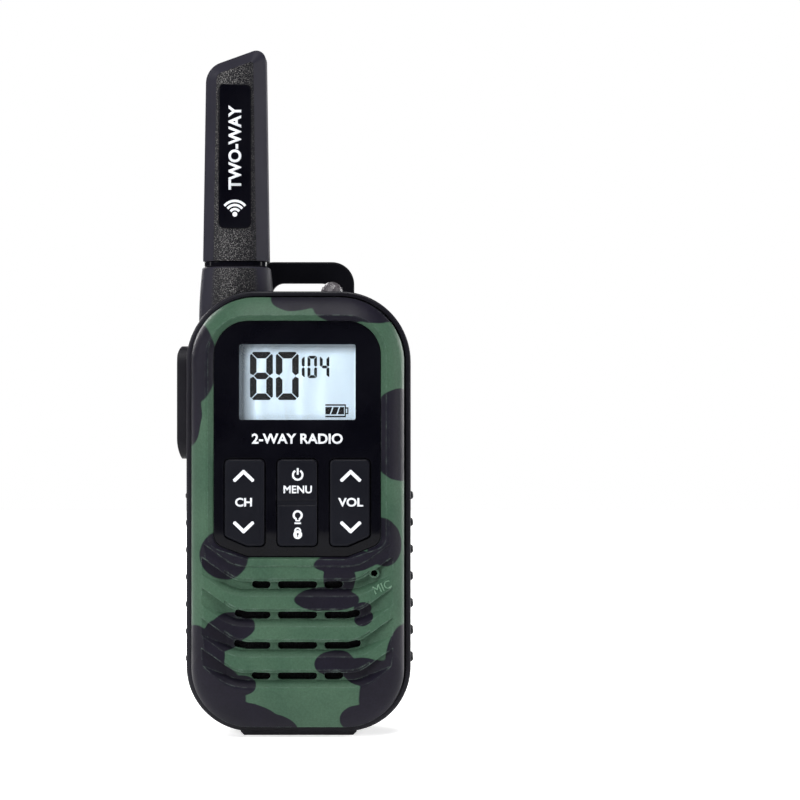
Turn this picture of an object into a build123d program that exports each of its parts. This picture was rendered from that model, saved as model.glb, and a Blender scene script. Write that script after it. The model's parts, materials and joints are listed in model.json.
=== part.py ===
from build123d import *
import os

os.makedirs("parts", exist_ok=True)

# Axes: X to the right and Z up as seen from the front, the front faces -Y, the foot stands on Z = 0

# Casing
HALF_W = 28.5  # half width of the rear shell
BOTTOM, TOP = 0.95, 112.7
BOTTOM_R, TOP_R = 16.5, 17.9  # corner radii of the outline
FRONT_Y, BACK_Y = -15.5, 15.5
RIM_Y = -6.5  # front edge of the rear shell's rim
SEAM_Y, LEDGE_Y = -4.5, -4.0  # back edge of the front shell, ledge it closes on
GAP = 1.25  # rim thickness, up to the shadow gap
STEP = 1.75  # the front shell is this much smaller all round
WALL = 3.75  # inset of the inside of both shells
WALL_Y = -11.5  # inside of the front wall
BACK_WALL_Y = 13.5  # inside of the back wall

# Rounded edge of the front shell: depth, then half width, foot, top and corner radii at that depth
FRONT_FACE = (
    (-11.2, 26.75, 2.7, 110.95, 14.75, 16.15),
    (-13.4, 25.7, 6.0, 109.25, 13.6, 14.7),
    (-15.05, 23.8, 11.4, 107.0, 11.5, 11.9),
    (FRONT_Y, 23.0, 14.2, 106.35, 10.4, 10.9),
)

# Display panel and keys
PANEL_Y, PANEL_BACK_Y = -14.0, -12.5
LCD_X, LCD_Z = 29.2, 18.9
LCD_AT = (0, 89.6)
KEY_X, KEY_Z = 10.0, 21.7
KEY_PITCH = 13.2
KEY_AT_Z = 59.35
KEY_Y, KEY_BACK_Y = -14.8, -11.1
KEY_GAP = 0.25

# Speaker grille
SLOT_Z = (38.8, 31.2, 23.6, 15.95)
SLOT_H = 1.95
SLOT_ENDS = (11.4, 15.7, 15.9, 11.5)
WEB_X, WEB = 5.85, 1.85
MIC_AT = (19.3, 41.75)

# Antenna
ANT_X, ANT_Y = -16.3, 2.0
BASE_TOP, RING_TOP, ANT_TOP = 119.1, 120.6, 176.0

# Belt clip
PIN_Y, PIN_Z, PIN_R = 18.1, 100.0, 0.8
CLIP_Y, CLIP_T = 20.0, 2.2
CLIP_TOP, CLIP_END = 121.7, 65.0

# Battery bay: three AAA cells side by side
CELL_R, CELL_L, CELL_PITCH = 5.25, 44.5, 10.9
CELL_Y, CELL_Z = 6.05, 15.1
BAY_X, BAY_Z0, BAY_Z1 = 16.8, 11.5, 61.5
DOOR_X, DOOR_Z0, DOOR_Z1 = 17.5, 5.0, 62.0
DOOR_SCREW_Z = 8.2

# Fasteners
CASE_SCREWS = ((-21.3, 20.0), (21.3, 20.0), (-19.8, 101.0), (19.8, 101.0))
BOARD_SCREWS = ((-15.5, 75.0), (15.5, 75.0), (0.0, 103.0))
BRACKET_SCREWS = ((0.0, 94.0), (0.0, 106.0))

RIB_Z = [60.6 - 6.93 * k for k in range(7)]
PTT_Z, PTT_L = 84.45, 29.0
GRIP_Y = 3.0


def facing(y):
    """Sketch plane at depth y seen from the front: local axes are X and Z, extrusions come forward."""
    return Plane.XZ.offset(-y)


def save(part, name):
    """Name a finished piece and write it."""
    part.label = name
    export_step(part, f"parts/{name}.step")


def rounded_outline(half, low, high, low_r, high_r):
    """Upright rectangle with its own radius at the lower and at the upper corners."""
    with BuildSketch() as outline:
        Polygon((half, low), (half, high), (-half, high), (-half, low), align=None)
        fillet(outline.vertices().group_by(Axis.Y)[-1], high_r)
        fillet(outline.vertices().group_by(Axis.Y)[0], low_r)
    return outline.sketch


def casing_outline(inset):
    """Outline of the casing seen from the front, inset all round."""
    return rounded_outline(HALF_W - inset, BOTTOM + inset, TOP - inset, BOTTOM_R - inset, TOP_R - inset)


def panel_outline(side, base):
    """Outline of the display panel, grown by side at the sides and top and by base below."""
    half = 21.0 + side
    corner = 12.4 + base * 0.3
    with BuildSketch() as outline:
        Polygon(
            (-corner, 45.6 - base),
            (corner, 45.6 - base),
            (half, 49.0 - base * 1.2),
            (half, 105.0 + side),
            (-half, 105.0 + side),
            (-half, 49.0 - base * 1.2),
            align=None,
        )
        fillet(outline.vertices().group_by(Axis.Y)[-1], 8.7 + side)
        fillet(outline.vertices().group_by(Axis.Y)[1], 3.1)
        fillet(outline.vertices().group_by(Axis.Y)[0], 1.0)
    return outline.sketch


def key_outline(side, grow):
    """Outline of a key; side -1 or 1 cuts its outer lower corner, 0 leaves it whole."""
    x, z = KEY_X / 2 + grow, KEY_Z / 2 + grow
    cut_x, cut_z = 5.6, 2.45
    points = [(-x, -z), (x, -z), (x, z), (-x, z)]
    if side:
        points = [(side * (x - cut_x), -z), (side * x, cut_z - z), (side * x, z), (-side * x, z), (-side * x, -z)]
    with BuildSketch() as outline:
        Polygon(*points, align=None)
        fillet(outline.vertices(), 1.2 + grow / 2)
    return outline.sketch


def antenna_outline(inset):
    """Outline of the antenna from the front, with its slanted tip; one corner is rounder than the other."""
    half = 7.6 - inset
    drop = 1.42 * inset
    with BuildSketch() as outline:
        Polygon(
            (ANT_X - half - 0.96, 110),
            (ANT_X + half + 0.96, 110),
            (ANT_X + half, 175.6 - drop),
            (ANT_X - half, 170.15 - drop * 0.5),
            align=None,
        )
        fillet(outline.vertices().group_by(Axis.Y)[-1], 2.4 - inset * 0.6)
        fillet(outline.vertices().group_by(Axis.Y)[-3], 5.6 - inset * 1.3)
    return outline.sketch


def slot_row(row):
    """The three slots of one grille row; the outer ones turn up at their far ends."""
    r = SLOT_H / 2
    near = WEB_X + WEB / 2 + r
    far = SLOT_ENDS[row] - r
    bend = min(far - 0.6, 12.6)
    lift = 0.5 if far > 13 else 0.1
    with BuildSketch() as slots:
        SlotOverall(2 * WEB_X - WEB, SLOT_H)
    with BuildSketch() as flat:
        with Locations((near, 0), (bend, 0)):
            Circle(r)
        make_hull()
    with BuildSketch() as turned:
        with Locations((bend, 0), (far, lift)):
            Circle(r)
        make_hull()
    with BuildSketch() as row_sketch:
        add(slots.sketch)
        add(flat.sketch)
        add(turned.sketch)
        mirror(about=Plane.YZ)
    return row_sketch.sketch


# ---------------------------------------------------------------- grille cutters
with BuildPart() as louvre:
    with BuildLine(facing(FRONT_Y)) as louvre_path:
        FilletPolyline((-24.5, 6.4), (-15.7, 0), (15.7, 0), (24.5, 6.4), radius=8.9)
    across = Plane(louvre_path.line @ 0, x_dir=(0.5878, 0, 0.809), z_dir=louvre_path.line % 0)
    with BuildSketch(across):
        Polygon((0.9, 1.5), (0.9, -2.2), (-1.1, -2.2), (-2.8, -0.35), (-6.05, 0), (-6.05, 1.5), align=None)
    sweep(path=louvre_path.line)
    with BuildSketch(Plane.XY.offset(-20)):
        with BuildLine():
            Polyline((-24.2, -18), (-24.2, -15.0), (-21, -14.2), (-17.4, -13.2))
            Line((-17.4, -13.2), (17.4, -13.2))
            Polyline((17.4, -13.2), (21, -14.2), (24.2, -15.0), (24.2, -18))
            Line((24.2, -18), (-24.2, -18))
        make_face()
    extrude(amount=40, mode=Mode.INTERSECT)

with BuildPart() as slot_strip:
    with BuildLine(facing(FRONT_Y)) as strip_path:
        FilletPolyline((-24.5, 6.4), (-15.7, 0), (15.7, 0), (24.5, 6.4), radius=8.9)
    across = Plane(strip_path.line @ 0, x_dir=(0.5878, 0, 0.809), z_dir=strip_path.line % 0)
    with BuildSketch(across):
        Polygon((0.8, 1.5), (0.8, -0.35), (1.55, -0.35), (1.55, 1.5), align=None)
    sweep(path=strip_path.line)
    with BuildSketch(Plane.XY.offset(-20)):
        with Locations((0, -15.5)):
            Rectangle(36.4, 6)
    extrude(amount=40, mode=Mode.INTERSECT)

with BuildPart() as crease:
    with BuildLine(facing(FRONT_Y)) as crease_path:
        FilletPolyline((-23.4, 5.6), (-15.7, 0), (15.7, 0), (23.4, 5.6), radius=8.9)
    across = Plane(crease_path.line @ 0, x_dir=(0.5878, 0, 0.809), z_dir=crease_path.line % 0)
    with BuildSketch(across):
        Polygon((0.25, 0.2), (0.1, -0.2), (-0.1, -0.25), (-1.6, 0), (-1.6, 0.2), align=None)
    sweep(path=crease_path.line)

# ---------------------------------------------------------------- front shell
with BuildPart() as front_shell:
    with BuildSketch(facing(SEAM_Y)):
        add(casing_outline(STEP))
    extrude(amount=SEAM_Y - FRONT_FACE[0][0])
    for y, *outline in FRONT_FACE:
        with BuildSketch(facing(y)):
            add(rounded_outline(*outline))
    loft()
    # recess of the display panel: slanted wall, pocket for the plate, ledge and opening
    with BuildSketch(facing(PANEL_Y)):
        add(panel_outline(0, 0))
    with BuildSketch(facing(FRONT_Y)):
        add(panel_outline(1.3, 0.35))
    loft(mode=Mode.SUBTRACT)
    with BuildSketch(facing(PANEL_BACK_Y)):
        add(panel_outline(0, 0))
    extrude(amount=1.6, mode=Mode.SUBTRACT)
    with BuildSketch(facing(PANEL_BACK_Y)):
        add(panel_outline(-1.2, -1.2))
    extrude(amount=-2, mode=Mode.SUBTRACT)
    # inside
    with BuildSketch(facing(SEAM_Y)):
        add(casing_outline(WALL))
    extrude(amount=6.0, mode=Mode.SUBTRACT)
    with BuildSketch(facing(SEAM_Y)):
        add(casing_outline(5.5))
    extrude(amount=SEAM_Y - WALL_Y, mode=Mode.SUBTRACT)
    # grille
    for z in SLOT_Z:
        with Locations((0, 0, z)):
            add(louvre.part, mode=Mode.SUBTRACT)
            add(slot_strip.part, mode=Mode.SUBTRACT)
    with Locations((0, 0, 43.4)):
        add(crease.part, mode=Mode.SUBTRACT)
    for row, z in enumerate(SLOT_Z):
        with BuildSketch(facing(WALL_Y + 1)):
            with Locations((0, z)):
                add(slot_row(row))
        extrude(amount=6, mode=Mode.SUBTRACT)
    # microphone hole with its raised ring
    with BuildSketch(facing(WALL_Y)):
        with Locations(MIC_AT):
            Circle(1.25)
    extrude(amount=3.5)
    with BuildSketch(facing(WALL_Y)):
        with Locations(MIC_AT):
            Circle(0.8)
    extrude(amount=5, mode=Mode.SUBTRACT)
    # screw bosses
    with BuildSketch(facing(-1.0)):
        with Locations(*CASE_SCREWS):
            Circle(2.8)
    extrude(amount=10.5)
    with BuildSketch(facing(-1.0)):
        with Locations(*CASE_SCREWS):
            Circle(1.1)
    extrude(amount=8.5, mode=Mode.SUBTRACT)
save(front_shell.part, "front_shell")

# ---------------------------------------------------------------- rear shell
with BuildPart() as rear_shell:
    with BuildSketch(facing(BACK_Y)):
        add(casing_outline(0))
    extrude(amount=BACK_Y - RIM_Y)
    fillet(rear_shell.edges().group_by(Axis.Y)[-1], 4.0)
    fillet(rear_shell.edges().group_by(Axis.Y)[0], 0.55)
    with BuildSketch(facing(LEDGE_Y)):
        add(casing_outline(GAP))
    extrude(amount=4, mode=Mode.SUBTRACT)
    with BuildSketch(facing(BACK_WALL_Y)):
        add(casing_outline(WALL))
    extrude(amount=20, mode=Mode.SUBTRACT)
    # battery bay walls and its front
    with BuildSketch(facing(BACK_WALL_Y)):
        with Locations((0, (BAY_Z0 + BAY_Z1) / 2)):
            Rectangle(2 * BAY_X + 2.4, BAY_Z1 - BAY_Z0 + 2.4)
            Rectangle(2 * BAY_X, BAY_Z1 - BAY_Z0, mode=Mode.SUBTRACT)
    extrude(amount=BACK_WALL_Y + 0.5)
    with BuildSketch(facing(0.6)):
        with Locations((0, (BAY_Z0 + BAY_Z1) / 2)):
            Rectangle(2 * BAY_X + 2.4, BAY_Z1 - BAY_Z0 + 2.4)
    extrude(amount=1.1)
    # foot
    with BuildSketch(Plane.YZ):
        with Locations((2.5, 1.0)):
            Rectangle(17, 2.0)
    extrude(amount=14.75, both=True)
    chamfer(rear_shell.edges().group_by(Axis.Z)[0].filter_by(Axis.Y), 0.9)
    # door opening, screw bosses, side and top openings
    with BuildSketch(facing(BACK_Y)):
        with Locations((0, (DOOR_Z0 + DOOR_Z1) / 2)):
            Rectangle(2 * DOOR_X, DOOR_Z1 - DOOR_Z0)
    extrude(amount=BACK_Y - BACK_WALL_Y, mode=Mode.SUBTRACT)
    with BuildSketch(facing(BACK_WALL_Y - 0.1)):
        with Locations((0, DOOR_SCREW_Z)):
            Circle(3.0)
    extrude(amount=9)
    with BuildSketch(facing(BACK_Y - 1)):
        with Locations(*CASE_SCREWS):
            Circle(3.5)
    extrude(amount=BACK_Y)
    with BuildSketch(facing(BACK_Y)):
        with Locations(*CASE_SCREWS):
            Circle(2.6)
    extrude(amount=6.5, mode=Mode.SUBTRACT)
    with BuildSketch(facing(BACK_Y)):
        with Locations(*CASE_SCREWS):
            Circle(1.5)
    extrude(amount=20, mode=Mode.SUBTRACT)
    with BuildSketch(facing(BACK_Y)):
        with Locations((0, DOOR_SCREW_Z)):
            Circle(1.5)
    extrude(amount=10, mode=Mode.SUBTRACT)
    with BuildSketch(facing(BACK_Y)):
        with Locations((0, PIN_Z)):
            RectangleRounded(20.2, 17.2, 1.6)
    extrude(amount=0.6, mode=Mode.SUBTRACT)
    with BuildSketch(facing(BACK_Y)):
        with Locations(*BRACKET_SCREWS):
            Circle(0.9)
    extrude(amount=4, mode=Mode.SUBTRACT)
    with BuildSketch(Plane.YZ.offset(-HALF_W - 1)):
        with Locations((GRIP_Y + 0.5, PTT_Z)):
            RectangleRounded(11.4, PTT_L + 0.4, 5.0)
    extrude(amount=6, mode=Mode.SUBTRACT)
    with BuildSketch(Plane.YZ.offset(HALF_W - 1)):
        with Locations((GRIP_Y, RIB_Z[3])):
            RectangleRounded(11, 47, 2)
    extrude(amount=3, mode=Mode.SUBTRACT)
    with BuildSketch(Plane.YZ.offset(-HALF_W + 1)):
        with Locations((GRIP_Y, RIB_Z[3])):
            RectangleRounded(11, 47, 2)
    extrude(amount=-3, mode=Mode.SUBTRACT)
    with BuildSketch(Plane.XY.offset(105.2)):
        with Locations((ANT_X, ANT_Y)):
            Circle(3.0)
        with Locations((8.2, ANT_Y)):
            Circle(2.5)
    extrude(amount=10, mode=Mode.SUBTRACT)
    # slots for the door's hooks
    with BuildSketch(facing(BACK_WALL_Y)):
        with Locations((-10, BAY_Z1 + 0.3), (10, BAY_Z1 + 0.3)):
            Rectangle(6.6, 3.0)
    extrude(amount=4.5, mode=Mode.SUBTRACT)
save(rear_shell.part, "rear_shell")

with BuildPart() as case_gasket:
    with BuildSketch(facing(LEDGE_Y)):
        add(casing_outline(STEP + 0.1))
        add(casing_outline(WALL - 0.1), mode=Mode.SUBTRACT)
    extrude(amount=LEDGE_Y - SEAM_Y)
save(case_gasket.part, "case_gasket")

for side, name in ((-1, "side_grip_left"), (1, "side_grip_right")):
    with BuildPart() as side_grip:
        with BuildSketch(Plane.YZ.offset(side * (HALF_W - 1))):
            with Locations((GRIP_Y, RIB_Z[3])):
                RectangleRounded(10.9, 46.9, 1.95)
        extrude(amount=side * 0.9)
        with BuildSketch(Plane.YZ.offset(side * (HALF_W - 0.5))):
            with Locations(*[(GRIP_Y, z) for z in RIB_Z]):
                SlotOverall(10.2, 1.8)
        extrude(amount=side * 1.15)
        tips = side_grip.faces().group_by(Axis.X)[-1 if side > 0 else 0]
        fillet(tips.edges(), 0.7)
    save(side_grip.part, name)

# ---------------------------------------------------------------- push to talk
with BuildPart() as ptt_button:
    with BuildSketch(Plane.YZ.offset(-23.5)):
        with Locations((GRIP_Y + 0.5, PTT_Z)):
            RectangleRounded(11.0, PTT_L, 4.8)
    extrude(amount=-7.8)
    with BuildSketch(Plane.XZ):
        with BuildLine():
            Polyline((-20, 65), (-30.0, 65), (-30.3, PTT_Z - PTT_L / 2))
            ThreePointArc((-30.3, PTT_Z - PTT_L / 2), (-31.05, PTT_Z - 11.8), (-31.3, PTT_Z - 8.8))
            Line((-31.3, PTT_Z - 8.8), (-31.3, PTT_Z + 11.2))
            ThreePointArc((-31.3, PTT_Z + 11.2), (-31.05, PTT_Z + 13.1), (-30.4, PTT_Z + PTT_L / 2))
            Polyline((-30.4, PTT_Z + PTT_L / 2), (-30.2, 105), (-20, 105), (-20, 65))
        make_face()
    extrude(amount=20, both=True, mode=Mode.INTERSECT)
    with BuildSketch(Plane.XZ.offset(-GRIP_Y - 3)):
        with Locations(*[(-31.95, PTT_Z + 1.2 + 3.4 * k) for k in (-2, -1, 0, 1, 2)]):
            Circle(0.95)
    extrude(amount=5, mode=Mode.SUBTRACT)
    with BuildSketch(Plane.YZ.offset(-24.0)):
        with Locations((GRIP_Y + 0.5, PTT_Z)):
            RectangleRounded(12.8, PTT_L - 1.4, 5.6)
    extrude(amount=0.8)
save(ptt_button.part, "ptt_button")

with BuildPart() as ptt_switch:
    with BuildSketch(Plane.YZ.offset(-22.0)):
        with Locations((-3.0, PTT_Z)):
            Rectangle(6.0, 7.0)
    extrude(amount=4.2)
    with BuildSketch(Plane.YZ.offset(-22.0)):
        with Locations((-2.6, PTT_Z)):
            Circle(1.4)
    extrude(amount=-0.25)
save(ptt_switch.part, "ptt_switch")

# ---------------------------------------------------------------- display and keys
with BuildPart() as display_panel:
    with BuildSketch(facing(PANEL_BACK_Y)):
        add(panel_outline(-0.1, -0.1))
    extrude(amount=PANEL_BACK_Y - PANEL_Y)
    with BuildSketch(Plane.YZ):
        with BuildLine():
            Polyline((-12, 110), (PANEL_Y, 110), (PANEL_Y, 54.5))
            ThreePointArc((PANEL_Y, 54.5), (-13.85, 50.5), (-13.2, 44.5))
            Polyline((-13.2, 44.5), (-12, 44.5), (-12, 110))
        make_face()
    extrude(amount=30, both=True, mode=Mode.INTERSECT)
    with BuildSketch(facing(PANEL_BACK_Y)):
        with Locations(LCD_AT):
            RectangleRounded(LCD_X, LCD_Z, 0.5)
        with Locations((-KEY_PITCH, KEY_AT_Z)):
            add(key_outline(-1, KEY_GAP))
        with Locations((0, KEY_AT_Z)):
            add(key_outline(0, KEY_GAP))
        with Locations((KEY_PITCH, KEY_AT_Z)):
            add(key_outline(1, KEY_GAP))
    extrude(amount=3, mode=Mode.SUBTRACT)
save(display_panel.part, "display_panel")

for side, name in ((-1, "channel_key"), (0, "menu_key"), (1, "volume_key")):
    with BuildPart() as key:
        with BuildSketch(facing(KEY_BACK_Y)):
            with Locations((side * KEY_PITCH, KEY_AT_Z)):
                add(key_outline(side, 0))
        extrude(amount=KEY_BACK_Y - KEY_Y)
        fillet(key.faces().sort_by(Axis.Y)[0].edges(), 0.45)
        if side == 0:
            with BuildSketch(facing(KEY_Y)):
                with Locations((0, KEY_AT_Z)):
                    Rectangle(KEY_X + 1, 1.4)
            extrude(amount=-0.25, mode=Mode.SUBTRACT)
        with BuildSketch(facing(KEY_BACK_Y)):
            with Locations((side * KEY_PITCH, KEY_AT_Z)):
                add(key_outline(side, 0.5))
        extrude(amount=0.7)
    save(key.part, name)

with BuildPart() as display_window:
    with BuildSketch(facing(PANEL_BACK_Y)):
        with Locations(LCD_AT):
            RectangleRounded(LCD_X - 0.1, LCD_Z - 0.1, 0.45)
    extrude(amount=0.35)
save(display_window.part, "display_window")

with BuildPart() as lcd_glass:
    with BuildSketch(facing(-11.4)):
        with Locations(LCD_AT):
            Rectangle(32.4, 22)
    extrude(amount=1.1)
save(lcd_glass.part, "lcd_glass")

with BuildPart() as lcd_frame:
    with BuildSketch(facing(-9.2)):
        with Locations(LCD_AT):
            Rectangle(33.6, 23.4)
    extrude(amount=2.2)
    with BuildSketch(facing(-11.4)):
        with Locations(LCD_AT):
            Rectangle(33.6, 23.4)
            Rectangle(32.5, 22.1, mode=Mode.SUBTRACT)
    extrude(amount=1.0)
save(lcd_frame.part, "lcd_frame")

with BuildPart() as lcd_connector:
    with BuildSketch(facing(-7.6)):
        with Locations((0, 100.0)):
            Rectangle(24, 1.6)
        with Locations((0, 79.2)):
            Rectangle(24, 1.6)
    extrude(amount=1.6)
save(lcd_connector.part, "lcd_connector")

with BuildPart() as keypad_membrane:
    with BuildSketch(facing(-9.6)):
        with Locations((0, KEY_AT_Z)):
            RectangleRounded(37.6, 23.4, 1.5)
    extrude(amount=0.6)
    with BuildSketch(facing(-10.2)):
        with GridLocations(KEY_PITCH, 14.4, 3, 2):
            with Locations((0, KEY_AT_Z)):
                Circle(2.2)
    extrude(amount=0.5)
save(keypad_membrane.part, "keypad_membrane")

with BuildPart() as key_switches:
    with BuildSketch(facing(-7.6)):
        with GridLocations(KEY_PITCH, 14.4, 3, 2):
            with Locations((0, KEY_AT_Z)):
                Rectangle(5.2, 5.2)
    extrude(amount=1.6)
    with BuildSketch(facing(-9.2)):
        with GridLocations(KEY_PITCH, 14.4, 3, 2):
            with Locations((0, KEY_AT_Z)):
                Circle(1.5)
    extrude(amount=0.4)
save(key_switches.part, "key_switches")

# ---------------------------------------------------------------- electronics
with BuildPart() as main_board:
    with BuildSketch(facing(-6.0)):
        with Locations((0, 75.5)):
            Rectangle(43, 60)
        with Locations((-21.5, 105.5), (21.5, 105.5)):
            Rectangle(12, 16, mode=Mode.SUBTRACT)
        with Locations(*BOARD_SCREWS):
            Circle(1.1, mode=Mode.SUBTRACT)
    extrude(amount=1.6)
save(main_board.part, "main_board")

with BuildPart() as board_screws:
    for spot in BOARD_SCREWS:
        with BuildSketch(facing(-6.0)):
            with Locations(spot):
                Circle(0.95)
        extrude(amount=1.6)
        with BuildSketch(facing(-5.0)):
            with Locations(spot):
                Circle(1.9)
        extrude(amount=1.0)
save(board_screws.part, "board_screws")

with BuildPart() as shield_can:
    with BuildSketch(facing(-3.2)):
        with Locations((0, 90.5)):
            RectangleRounded(26, 19, 0.8)
    extrude(amount=2.8)
    fillet(shield_can.faces().sort_by(Axis.Y)[-1].edges(), 0.5)
save(shield_can.part, "shield_can")

with BuildPart() as board_chips:
    with BuildSketch(facing(-4.8)):
        with Locations((-9, 66), (6, 68)):
            Rectangle(9, 9)
        with Locations((14, 57), (-14, 55), (0, 54)):
            Rectangle(5, 3.6)
    extrude(amount=1.2)
save(board_chips.part, "board_chips")

with BuildPart() as speaker_mesh:
    with BuildSketch(facing(WALL_Y + 0.3)):
        with Locations((0, 27.4)):
            RectangleRounded(32.4, 30, 3)
    extrude(amount=0.3)
save(speaker_mesh.part, "speaker_mesh")

with BuildPart() as speaker_frame:
    with BuildSketch(Plane.XY):
        with BuildLine():
            Polyline((16.4, 11.1), (17.6, 11.1), (17.6, 9.4), (12.5, 6.6), (7.4, 6.6), (7.4, 7.6), (12.2, 7.6))
            Polyline((12.2, 7.6), (16.4, 9.9), (16.4, 11.1))
        make_face()
    revolve(axis=Axis.Y)
speaker_at = Location((0, 0, 27.4), (180, 0, 0))
save(speaker_frame.part.moved(speaker_at), "speaker_frame")

with BuildPart() as speaker_cone:
    with BuildSketch(Plane.XY):
        with BuildLine():
            Polyline((0, 10.4), (4.0, 9.6), (4.0, 8.6), (5.0, 8.6), (14.5, 10.3), (16.3, 10.3), (16.3, 10.9))
            Polyline((16.3, 10.9), (14.2, 10.9), (5.0, 9.4), (3.4, 10.3), (0, 10.9), (0, 10.4))
        make_face()
    revolve(axis=Axis.Y)
save(speaker_cone.part.moved(speaker_at), "speaker_cone")

with BuildPart() as speaker_magnet:
    with BuildSketch(Plane.XY):
        Polygon((0, 4.0), (7.2, 4.0), (7.2, 7.6), (3.0, 7.6), (3.0, 8.5), (0, 8.5), align=None)
    revolve(axis=Axis.Y)
save(speaker_magnet.part.moved(speaker_at), "speaker_magnet")

with BuildPart() as microphone:
    with BuildSketch(facing(-8.4)):
        with Locations(MIC_AT):
            Circle(2.0)
    extrude(amount=2.5)
save(microphone.part, "microphone")

with BuildPart() as mic_boot:
    with BuildSketch(facing(-8.4)):
        with Locations(MIC_AT):
            Circle(3.0)
    extrude(amount=3.0)
    with BuildSketch(facing(-8.4)):
        with Locations(MIC_AT):
            Circle(2.05)
    extrude(amount=2.6, mode=Mode.SUBTRACT)
    with BuildSketch(facing(-11.5)):
        with Locations(MIC_AT):
            Circle(0.7)
    extrude(amount=-2, mode=Mode.SUBTRACT)
save(mic_boot.part, "mic_boot")

# ---------------------------------------------------------------- antenna
with BuildPart() as casing_block:
    with BuildSketch(facing(30)):
        add(casing_outline(0))
    extrude(amount=60)

with BuildPart() as antenna_base:
    with BuildSketch(Plane.XY.offset(100.0)):
        with Locations((ANT_X, ANT_Y + 0.4)):
            RectangleRounded(18.9, 14.8, 5.6)
    with BuildSketch(Plane.XY.offset(112.5)):
        with Locations((ANT_X, ANT_Y + 0.4)):
            RectangleRounded(18.6, 14.6, 5.6)
    with BuildSketch(Plane.XY.offset(BASE_TOP)):
        with Locations((ANT_X, ANT_Y)):
            RectangleRounded(17.3, 13.4, 5.0)
    loft()
    fillet(antenna_base.edges().group_by(Axis.Z)[-1], 0.5)
    add(casing_block.part, mode=Mode.SUBTRACT)
    with BuildSketch(Plane.XY.offset(100)):
        with Locations((ANT_X, ANT_Y)):
            Circle(3.0)
    extrude(amount=25, mode=Mode.SUBTRACT)
save(antenna_base.part, "antenna_base")

with BuildPart() as antenna_neck_ring:
    with BuildSketch(Plane.XY.offset(BASE_TOP)):
        with Locations((ANT_X, ANT_Y)):
            RectangleRounded(16.2, 12.4, 4.6)
    extrude(amount=RING_TOP - BASE_TOP)
    fillet(antenna_neck_ring.faces().filter_by(Axis.Z).edges(), 0.3)
    with BuildSketch(Plane.XY.offset(BASE_TOP)):
        with Locations((ANT_X, ANT_Y)):
            Circle(3.0)
    extrude(amount=RING_TOP - BASE_TOP, mode=Mode.SUBTRACT)
save(antenna_neck_ring.part, "antenna_neck_ring")

with BuildPart() as antenna_stud:
    with BuildSketch(Plane.XY.offset(104.8)):
        with Locations((ANT_X, ANT_Y)):
            Circle(2.95)
    extrude(amount=17.2)
save(antenna_stud.part, "antenna_stud")

with BuildPart() as antenna_sheath:
    for y, inset in ((-4.6, 2.9), (-1.2, 0), (5.6, 0), (8.6, 2.9)):
        with BuildSketch(facing(y)):
            add(antenna_outline(inset))
    loft(ruled=True)
    with BuildSketch(Plane.XY.offset(RING_TOP)):
        with Locations((ANT_X, ANT_Y)):
            Rectangle(20, 20)
    extrude(amount=60, mode=Mode.INTERSECT)
    # seat of the label and bore for the coil
    with BuildSketch(facing(ANT_Y - 6.6)):
        with Locations((ANT_X, 147.2)):
            RectangleRounded(8.4, 36.9, 1.6)
    extrude(amount=-0.6, mode=Mode.SUBTRACT)
    with BuildSketch(Plane.XY.offset(RING_TOP)):
        with Locations((ANT_X, ANT_Y)):
            Circle(3.6)
    extrude(amount=44, mode=Mode.SUBTRACT)
save(antenna_sheath.part, "antenna_sheath")

with BuildPart() as antenna_label:
    with BuildSketch(facing(ANT_Y - 6.0)):
        with Locations((ANT_X, 147.2)):
            RectangleRounded(8.2, 36.7, 1.5)
    extrude(amount=0.7)
    fillet(antenna_label.faces().sort_by(Axis.Y)[0].edges(), 0.15)
save(antenna_label.part, "antenna_label")

with BuildPart() as antenna_coil:
    with BuildLine():
        Helix(pitch=2.2, height=36, radius=2.7, center=(ANT_X, ANT_Y, 123.5))
    with BuildSketch(Plane((ANT_X + 2.7, ANT_Y, 123.5), x_dir=(1, 0, 0), z_dir=(0, 1, 0.13))):
        Circle(0.4)
    sweep(is_frenet=True)
save(antenna_coil.part, "antenna_coil")

# ---------------------------------------------------------------- torch
with BuildPart() as torch_lens:
    with BuildSketch(Plane.XZ.offset(-ANT_Y)) as lens_half:
        with BuildLine():
            Polyline((8.2, 115.52), (8.2, 107.6), (10.6, 107.6), (10.6, 112.72), (11.0, 112.72))
            CenterArc((8.2, 112.72), 2.8, 0, 90)
        make_face()
    revolve(axis=Axis((8.2, ANT_Y, 0), (0, 0, 1)))
save(torch_lens.part, "torch_lens")

with BuildPart() as torch_led:
    with BuildSketch(Plane.XY.offset(103.0)):
        with Locations((8.2, ANT_Y)):
            Circle(1.9)
    extrude(amount=4.5)
    fillet(torch_led.faces().sort_by(Axis.Z)[-1].edges(), 1.2)
save(torch_led.part, "torch_led")

# ---------------------------------------------------------------- battery bay
cells = [(-CELL_PITCH, 1), (0.0, -1), (CELL_PITCH, 1)]
cell_mid = CELL_Z + CELL_L / 2

with BuildPart() as battery_cells:
    for x, up in cells:
        with BuildSketch(Plane.XY.offset(cell_mid - up * CELL_L / 2)):
            with Locations((x, CELL_Y)):
                Circle(CELL_R)
        extrude(amount=up * (CELL_L - 0.9))
        with BuildSketch(Plane.XY.offset(cell_mid + up * (CELL_L / 2 - 0.9))):
            with Locations((x, CELL_Y)):
                Circle(1.9)
        extrude(amount=up * 0.9)
save(battery_cells.part, "battery_cells")

with BuildPart() as battery_contacts:
    for x, up in cells:
        with BuildSketch(Plane.XY.offset(cell_mid + up * (CELL_L / 2 + 1.5))):
            with Locations((x, CELL_Y)):
                Rectangle(8, 8)
        extrude(amount=up * 0.35)
        with BuildSketch(Plane.XY.offset(cell_mid + up * CELL_L / 2)):
            with Locations((x, CELL_Y)):
                Circle(1.4)
        extrude(amount=up * 1.5)
save(battery_contacts.part, "battery_contacts")

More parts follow.
